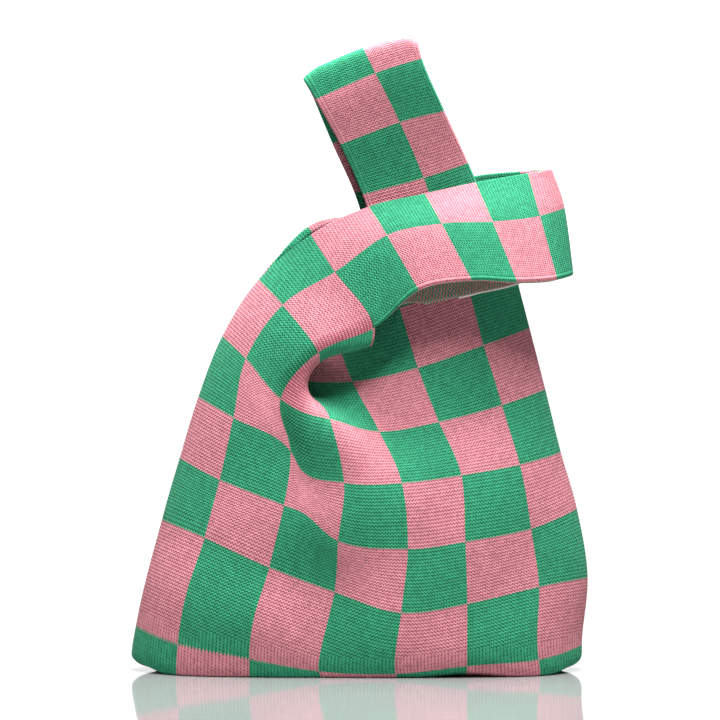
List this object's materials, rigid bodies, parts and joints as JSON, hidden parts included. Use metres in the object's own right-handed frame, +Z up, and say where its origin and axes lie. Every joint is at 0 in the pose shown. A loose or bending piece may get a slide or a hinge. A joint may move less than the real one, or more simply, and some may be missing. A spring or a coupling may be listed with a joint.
{
  "type": "tote bag",
  "caption": "Soft knitted checker knot bag standing on its flat base, with a long handle drawn up through the loop of a short handle.",
  "frame": {"origin": "on the ground under the middle of the bag", "axes": "+Z up, front panel towards -Y, +X to the right as seen from the front"},
  "size_m": [0.2467, 0.086, 0.3417],
  "materials": {
    "checker_knit": "green and pink checker knit, matt",
    "reverse_knit": "fine two-colour speckle of the knit's reverse side, matt",
    "linking_yarn": "chained yarn, matt"
  },
  "bodies": {
    "bag": {"front_panel": "checker_knit", "back_panel": "checker_knit", "side_seam_left": "linking_yarn", "side_seam_right": "linking_yarn", "base_seam": "linking_yarn", "mouth_hem_front": "checker_knit", "mouth_hem_back": "checker_knit", "short_strap_root_front": "checker_knit", "short_strap_root_back": "checker_knit", "long_strap_root_front": "checker_knit", "long_strap_root_back": "checker_knit"},
    "short_handle": {"short_handle_front": "checker_knit", "short_handle_back": "checker_knit", "short_handle_front_hem_upper": "checker_knit", "short_handle_front_hem_lower": "checker_knit", "short_handle_back_hem_upper": "checker_knit", "short_handle_back_hem_lower": "checker_knit", "short_handle_join_seam": "linking_yarn", "short_handle_facing": "reverse_knit"},
    "long_handle": {"long_handle_front": "checker_knit", "long_handle_back": "checker_knit", "long_handle_front_hem_left": "checker_knit", "long_handle_front_hem_right": "checker_knit", "long_handle_back_hem_left": "checker_knit", "long_handle_back_hem_right": "checker_knit", "long_handle_join_seam": "linking_yarn"}
  },
  "joints": [
    {"name": "short_handle_lift", "type": "hinge", "parent": "bag", "child": "short_handle", "pos_m": [0.005, 0, 0.222], "axis": [0, -1, 0], "range_deg": [-5, 5], "deforming": ["short_strap_root_front", "short_strap_root_back"]},
    {"name": "long_handle_lean", "type": "hinge", "parent": "bag", "child": "long_handle", "pos_m": [0.0295, 0, 0.2665], "axis": [0.9582, 0, 0.2861], "range_deg": [-35, 45], "deforming": ["long_strap_root_front", "long_strap_root_back"]}
  ]
}
